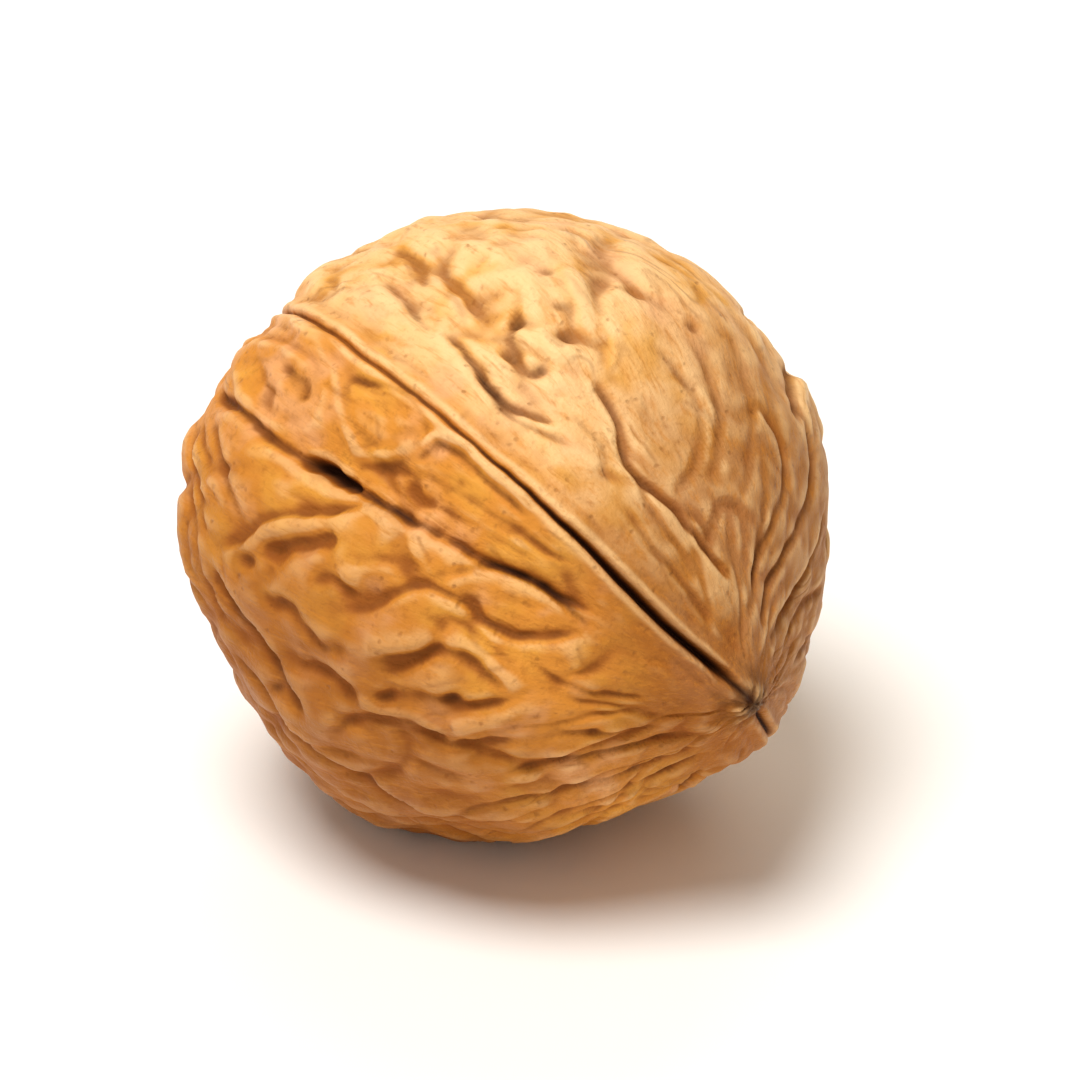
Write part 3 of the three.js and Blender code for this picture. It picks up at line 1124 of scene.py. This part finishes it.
@dataclass(frozen=True)
class Wash:
    """A thin coat of colour, which comes in where what it follows goes between two values."""

    paint: Paint
    comes_in: Optional[Pair] = None  # without them it is as strong as what it follows
    share: float = 1.0  # how strong it gets
    by_weather_and_shade: float = 0.0  # how much stronger on the lower side, which is browner partly in its own tone and partly as painted shade
    by_shade_below_and_at_point: float = 0.0  # and where shade is painted below the nut and at its point

    def over(self, graph: Graph, under: object, value: Wire, weathered_and_shaded: Wire, shade_below_and_at_point: Wire) -> Wire:
        """Lays the wash over a colour.

        Args:
            graph: The material's tree.
            under: The colour that it goes on.
            value: What it follows.
            weathered_and_shaded: How brown the lower side is, partly as the shell's own tone and partly as
                painted shade, from 0 to 1.
            shade_below_and_at_point: How much painted shade lies below the nut and at its point, where the
                point's own skin is also dark, from 0 to 1.

        Returns:
            The two together.
        """
        mask = graph.ramp(value, *self.comes_in) if self.comes_in else value
        share = weathered_and_shaded * self.by_weather_and_shade + shade_below_and_at_point * self.by_shade_below_and_at_point + self.share
        return graph.mixed(mask * share, under, opaque(self.paint.value))


@dataclass(frozen=True)
class ShellFinish:
    """Dry woody shell: tan, paler on the high places as painted highlight, brown in the hollows as painted
    shade, and dark in the cracks and grooves as painted shade with some grime; it is also painted darker
    below the nut and towards its point, as painted shade and the point's own dark skin.

    A noise is given by its spacing in mm, its detail and its roughness, and a sway by
    the spacing and the reach of the noise that pushes a pattern about.
    """

    patches: Triple = (6.0, 3.0, 0.6)
    patch_sway: Pair = (5.0, 2.0)
    streaks: Triple = (0.9, 3.0, 0.6)
    streak_sway: Pair = (2.0, 0.5)
    hues: Triple = (3.4, 2.0, 0.5)
    hue_sway: Pair = (3.0, 1.0)
    grain: Triple = (0.5, 3.0, 0.65)
    grain_sway: Pair = (1.2, 0.35)
    grain_stretch: Triple = (1.0, 1.0, 0.3)  # less draws it out further along the nut
    mottle: Triple = (0.5, 3.0, 0.6)
    pores: Triple = (0.25, 2.0, 0.5)
    weathered_and_shaded_side: Pair = (-5.5, 3.5)  # y over which the lower side's brown fades out: partly the shell's own tone, partly painted shade
    shaded_and_dark_point: Pair = (9.0, 17.0)  # x over which it gets darker towards the point: painted shade, with the point's own dark skin
    shaded_and_dark_point_slant: float = 0.4
    shaded_underside: Pair = (-5.0, -16.0)  # y over which it gets darker downwards: painted shade below the nut
    ragged: Triple = (6.0, 5.0, 8.0)  # mm that the patches push those three edges about
    # Golden patches, with more of them on the lower side, which is partly painted shade.
    tanned: Wash = Wash(Paint.GOLDEN, (-0.02, 0.32))
    tanned_by_weather_and_shade: float = 0.46
    streaked: Wash = Wash(Paint.GOLDEN, (0.0, 0.25), 0.6)
    honeyed: Wash = Wash(Paint.HONEY, (0.0, 0.18), 0.7)
    blushed: Wash = Wash(Paint.ROSY, (-0.02, -0.2), 0.45)
    # Painted shade: umber below the nut and towards its point, where the point's own skin is also dark.
    shaded_below_and_at_point: Wash = Wash(Paint.UMBER, share=0.8)
    # Painted shade: russet in broad hollows, with more on the lower side.
    basin_shade: Wash = Wash(Paint.RUSSET, (0.02, 0.34), 0.4, by_weather_and_shade=0.35)
    basin_shade_by_hue: float = 0.5
    # Painted highlight: pale on the crests, less in broad hollows, on the lower side and under the painted
    # shade below.
    raised: Wash = Wash(Paint.PALE, (-0.02, 0.18), 0.9, by_weather_and_shade=-0.47, by_shade_below_and_at_point=-0.3)
    raised_less: Pair = (0.35, 0.06)  # in broad hollows, and on the browner lower side, which is partly painted shade
    grained: Wash = Wash(Paint.GOLDEN, (0.0, 0.22), 0.4)
    grain_lines: Wash = Wash(Paint.BROWN, (0.06, 0.3), 0.3)
    mottled: Wash = Wash(Paint.BROWN, (0.04, 0.34), 0.35)
    mottled_by_weather_and_shade: float = 0.04
    # Painted shade: brown in the small and broad hollows, broken up by the mottle.
    low: Wash = Wash(Paint.BROWN, (-0.02, 0.26), 0.5, by_weather_and_shade=0.2)
    low_by: Pair = (0.3, 0.1)  # by broad hollows, and by the mottle
    veined: Wash = Wash(Paint.BROWN, share=0.32)
    vein_sway: Pair = (4.0, 1.6)
    vein_spacing: float = 5.0
    vein_levels: float = 10.0
    vein_edge: Pair = (0.26, 0.0)  # levels, from a vein's edge to its middle
    vein_shows: tuple[Triple, Triple] = ((3.0, -0.06, 0.12), (2.2, -0.14, 0.06))
    flecked: Wash = Wash(Paint.BROWN, share=0.4)
    fleck_cell: float = 0.62
    fleck_sway: Pair = (0.8, 0.2)
    fleck_size: Pair = (0.32, 0.05)  # cell sizes from a fleck's edge to its middle
    fleck_chance: Pair = (0.5, 0.9)
    # Painted shade with some grime: near black in the cracks, grooves and pits, with the dark point and stem
    # scar.
    shaded_and_dirty: Wash = Wash(Paint.CRACK, (0.14, 1.1))
    shaded_and_dirty_by_mottle: float = 0.25
    roughness: Pair = (0.48, 0.74)  # on the crests and in the hollows
    hollow_span: Pair = (-0.1, 0.14)  # mm from the one to the other
    worn_by_mottle: float = 0.1
    specular: float = 0.15
    fibre_height: float = 0.16  # mm
    fibre_strength: float = 0.75
    fibre_shares: tuple[float, ...] = (-0.9, 0.5, -0.35, -0.4)  # of grain, pores, veins, flecks

    def material(self) -> bpy.types.Material:
        """Wires the shell's material.

        Returns:
            The material.
        """
        material = bpy.data.materials.new("walnut_shell")
        material.use_nodes = True
        graph = Graph(material.node_tree)
        shader = material.node_tree.nodes["Principled BSDF"]
        place = self._attribute(graph, "place", "Vector")
        line = self._attribute(graph, "line", "Vector")
        hollow, basin, dirt = (self._attribute(graph, name, "Fac") for name in ("hollow", "basin", "dirt"))
        toward_point, across, _ = graph.separated(place)

        patchy = graph.noise(graph.warped(line, *self.patch_sway), *self.patches)
        ragged_side, ragged_point, ragged_underside = (patchy * push for push in self.ragged)
        # The lower side is browner: partly the shell's own tone, partly painted shade.
        weathered_and_shaded = graph.ramp(across + ragged_side, *self.weathered_and_shaded_side, 1.0, 0.0)
        # Darker below the nut and towards its point: painted shade, with the point's own dark skin.
        from_middle = toward_point + across * self.shaded_and_dark_point_slant
        shaded_and_dark_point = graph.ramp(from_middle + ragged_point, *self.shaded_and_dark_point)
        shaded_underside = graph.ramp(across + ragged_underside, *self.shaded_underside)
        shade_below_and_at_point = graph.math("MAXIMUM", shaded_underside, shaded_and_dark_point)
        streaks = graph.noise(graph.warped(line, *self.streak_sway), *self.streaks)
        hue = graph.noise(graph.warped(place, *self.hue_sway), *self.hues)
        long_line = graph.vector_math("MULTIPLY", line, self.grain_stretch)
        grain = graph.noise(graph.warped(long_line, *self.grain_sway), *self.grain)
        mottle = graph.noise(place, *self.mottle)
        veins = self._veins(graph, line, place)
        flecks = self._flecks(graph, place)
        less_in_basin, less_weathered_and_shaded = self.raised_less
        # Painted highlight on the crests, less so in broad hollows and on the lower side.
        crest = hollow * -1.0 - basin * less_in_basin - weathered_and_shaded * less_weathered_and_shaded
        low_by_basin, low_by_mottle = self.low_by

        # Some of these washes are painted light: shade on the lower side, below the nut, at its point, in
        # the hollows and grooves, and highlight on the crests.
        colour: object = opaque(Paint.TAN.value)
        for wash, value in (
            (self.tanned, patchy + weathered_and_shaded * self.tanned_by_weather_and_shade),
            (self.streaked, streaks),
            (self.honeyed, hue),
            (self.blushed, hue),
            (self.shaded_below_and_at_point, shade_below_and_at_point),
            (self.basin_shade, basin + hue * self.basin_shade_by_hue),
            (self.raised, crest),
            (self.grained, grain),
            (self.grain_lines, grain),
            (self.mottled, mottle + weathered_and_shaded * self.mottled_by_weather_and_shade),
            (self.low, hollow + basin * low_by_basin + mottle * low_by_mottle),
            (self.veined, veins),
            (self.flecked, flecks),
            (self.shaded_and_dirty, dirt + mottle * self.shaded_and_dirty_by_mottle),
        ):
            colour = wash.over(graph, colour, value, weathered_and_shaded, shade_below_and_at_point)
        graph.feed(shader.inputs["Base Color"], colour)

        worn = graph.ramp(hollow + mottle * self.worn_by_mottle, *self.hollow_span, *self.roughness)
        graph.feed(shader.inputs["Roughness"], worn)
        shader.inputs["Specular IOR Level"].default_value = self.specular

        pores = graph.noise(place, *self.pores)
        by_grain, by_pores, by_veins, by_flecks = self.fibre_shares
        height = grain * by_grain + pores * by_pores + veins * by_veins + flecks * by_flecks
        skin = graph.node("ShaderNodeBump", {"Height": height, "Strength": self.fibre_strength})
        skin.inputs["Distance"].default_value = self.fibre_height * MM
        graph.feed(shader.inputs["Normal"], graph.wire(skin))
        return material

    def _veins(self, graph: Graph, line: Wire, place: Wire) -> Wire:
        """Fine brown lines that run from end to end and bend round the lumps.

        Args:
            graph: The material's tree.
            line: The place unrolled along the nut, in mm.
            place: The place, in mm.

        Returns:
            How strong the lines are, from 0 to 1.
        """
        levels = graph.noise(graph.warped(line, *self.vein_sway), self.vein_spacing, detail=1.5)
        lines = graph.ramp(graph.off_contour(levels, self.vein_levels), *self.vein_edge)
        fine, broad = self.vein_shows
        return lines * graph.patches(place, *fine, detail=2.0) * graph.patches(place, *broad)

    def _flecks(self, graph: Graph, place: Wire) -> Wire:
        """Small dark pores, scattered.

        Args:
            graph: The material's tree.
            place: The place, in mm.

        Returns:
            How strong the pores are, from 0 to 1.
        """
        cells = graph.cells(graph.warped(place, *self.fleck_sway), self.fleck_cell, "F1")
        chance = graph.separated(graph.wire(cells, "Color"))[0]
        return graph.ramp(graph.wire(cells), *self.fleck_size) * graph.ramp(chance, *self.fleck_chance)

    def _attribute(self, graph: Graph, name: str, output: str) -> Wire:
        """Reads a value that the shell's mesh carries."""
        node = graph.node("ShaderNodeAttribute", attribute_name=name, attribute_type="GEOMETRY")
        return graph.wire(node, output)


@dataclass(frozen=True)
class FloorFinish:
    """Matt white studio paper."""

    colour: Colour = (0.93, 0.925, 0.915)
    light_fleck: Colour = (0.96, 0.96, 0.96)
    fleck_spacing: float = 30.0  # mm
    fleck_share: Pair = (0.2, 0.1)  # how much it varies, and its mean
    roughness: float = 0.9

    def material(self) -> bpy.types.Material:
        """Wires the floor's material.

        Returns:
            The material.
        """
        material = bpy.data.materials.new("floor_paper")
        material.use_nodes = True
        graph = Graph(material.node_tree)
        shader = material.node_tree.nodes["Principled BSDF"]
        place = graph.wire(graph.node("ShaderNodeTexCoord"), "Object")
        fleck = graph.noise(graph.scaled(place, 1.0 / MM), self.fleck_spacing)
        varied, mean = self.fleck_share
        colour = graph.mixed(fleck * varied + mean, opaque(self.colour), opaque(self.light_fleck))
        graph.feed(shader.inputs["Base Color"], colour)
        shader.inputs["Roughness"].default_value = self.roughness
        return material


# ---------------------------------------------------------------- the studio


class Lamp(Enum):
    """The studio's soft lights, each with its azimuth, elevation, strength and softness."""

    KEY = (10.0, 72.0, 2.9, 30.0)
    FILL = (20.0, 22.0, 0.35, 60.0)
    RIM = (230.0, 45.0, 0.6, 40.0)


@dataclass
class Studio:
    """A pale floor, soft lights and the camera. Lengths in metres, angles in degrees."""

    azimuth: float = 50.9
    elevation: float = 30.0
    distance: float = 0.52
    lens: float = 330.0
    clip: Pair = (0.01, 20.0)
    floor_size: float = 12.0
    lamp_colour: Colour = (1.0, 0.97, 0.93)
    room: float = 0.31  # the room's own light
    room_colour: Colour = (1.0, 0.90, 0.75)
    backdrop: float = 1.0  # how bright the wall behind the floor looks
    backdrop_colour: Colour = (1.0, 0.99, 0.98)

    def _way(self, azimuth: float, elevation: float) -> Vector:
        """The direction from the nut to something in the studio.

        Args:
            azimuth: Degrees round the nut, from the front.
            elevation: Degrees above the floor.

        Returns:
            A vector of length 1.
        """
        a = math.radians(azimuth)
        e = math.radians(elevation)
        return Vector((math.sin(a) * math.cos(e), -math.cos(a) * math.cos(e), math.sin(e)))

    def _placed(self, name: str, data: bpy.types.ID, aim: Vector, back: Vector) -> bpy.types.Object:
        """Puts a lamp or the camera in its place.

        Args:
            name: Its name.
            data: The lamp or camera.
            aim: What it is turned to.
            back: From there to where it is.

        Returns:
            Its object.
        """
        placed = bpy.data.objects.new(name, data)
        bpy.context.scene.collection.objects.link(placed)
        placed.location = aim + back
        placed.rotation_euler = (-back).to_track_quat("-Z", "Y").to_euler()
        return placed

    def camera(self, aim: Vector) -> None:
        """Sets the camera up.

        Args:
            aim: What it looks at.
        """
        data = bpy.data.cameras.new("camera")
        data.lens = self.lens
        data.clip_start, data.clip_end = self.clip
        back = self._way(self.azimuth, self.elevation) * self.distance
        bpy.context.scene.camera = self._placed("camera", data, aim, back)

    def floor(self, finish: FloorFinish) -> None:
        """Lays the floor.

        Args:
            finish: What it is made of.
        """
        half = self.floor_size / 2
        mesh = bpy.data.meshes.new("floor")
        corners = [(-half, -half, 0.0), (half, -half, 0.0), (half, half, 0.0), (-half, half, 0.0)]
        mesh.from_pydata(corners, [], [(0, 1, 2, 3)])
        mesh.materials.append(finish.material())
        floor = bpy.data.objects.new("floor", mesh)
        bpy.context.scene.collection.objects.link(floor)

    def lights(self, aim: Vector) -> None:
        """Hangs the lights and sets the room's own light.

        Args:
            aim: What they shine on.
        """
        for lamp in Lamp:
            azimuth, elevation, strength, softness = lamp.value
            data = bpy.data.lights.new(lamp.name.lower(), "SUN")
            data.energy = strength
            data.angle = math.radians(softness)
            data.color = self.lamp_colour
            self._placed(data.name, data, aim, self._way(azimuth, elevation))
        world = bpy.data.worlds.new("room")
        world.use_nodes = True
        graph = Graph(world.node_tree)
        seen = graph.wire(graph.node("ShaderNodeLightPath"), "Is Camera Ray")
        tint = graph.mixed(seen, opaque(self.room_colour), opaque(self.backdrop_colour))
        background = world.node_tree.nodes["Background"]
        graph.feed(background.inputs["Color"], tint)
        graph.feed(background.inputs["Strength"], seen * (self.backdrop - self.room) + self.room)
        bpy.context.scene.world = world
        bpy.context.scene.view_settings.view_transform = "Standard"


def main() -> None:
    """Builds the nut, then the studio around it."""
    logging.basicConfig(level=logging.INFO, format="%(name)s: %(message)s")
    shell = Shell().build(ShellFinish().material())
    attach(shell, "root")
    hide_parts("walnut")
    LOG.info("walnut_shell: %d faces", len(shell.data.polygons))

    low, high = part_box("walnut")
    aim = (Vector(low) + Vector(high)) / 2
    studio = Studio()
    studio.floor(FloorFinish())
    studio.lights(aim)
    studio.camera(aim)
    LOG.info("studio: floor, lights and camera")


if __name__ == "__main__":
    main()
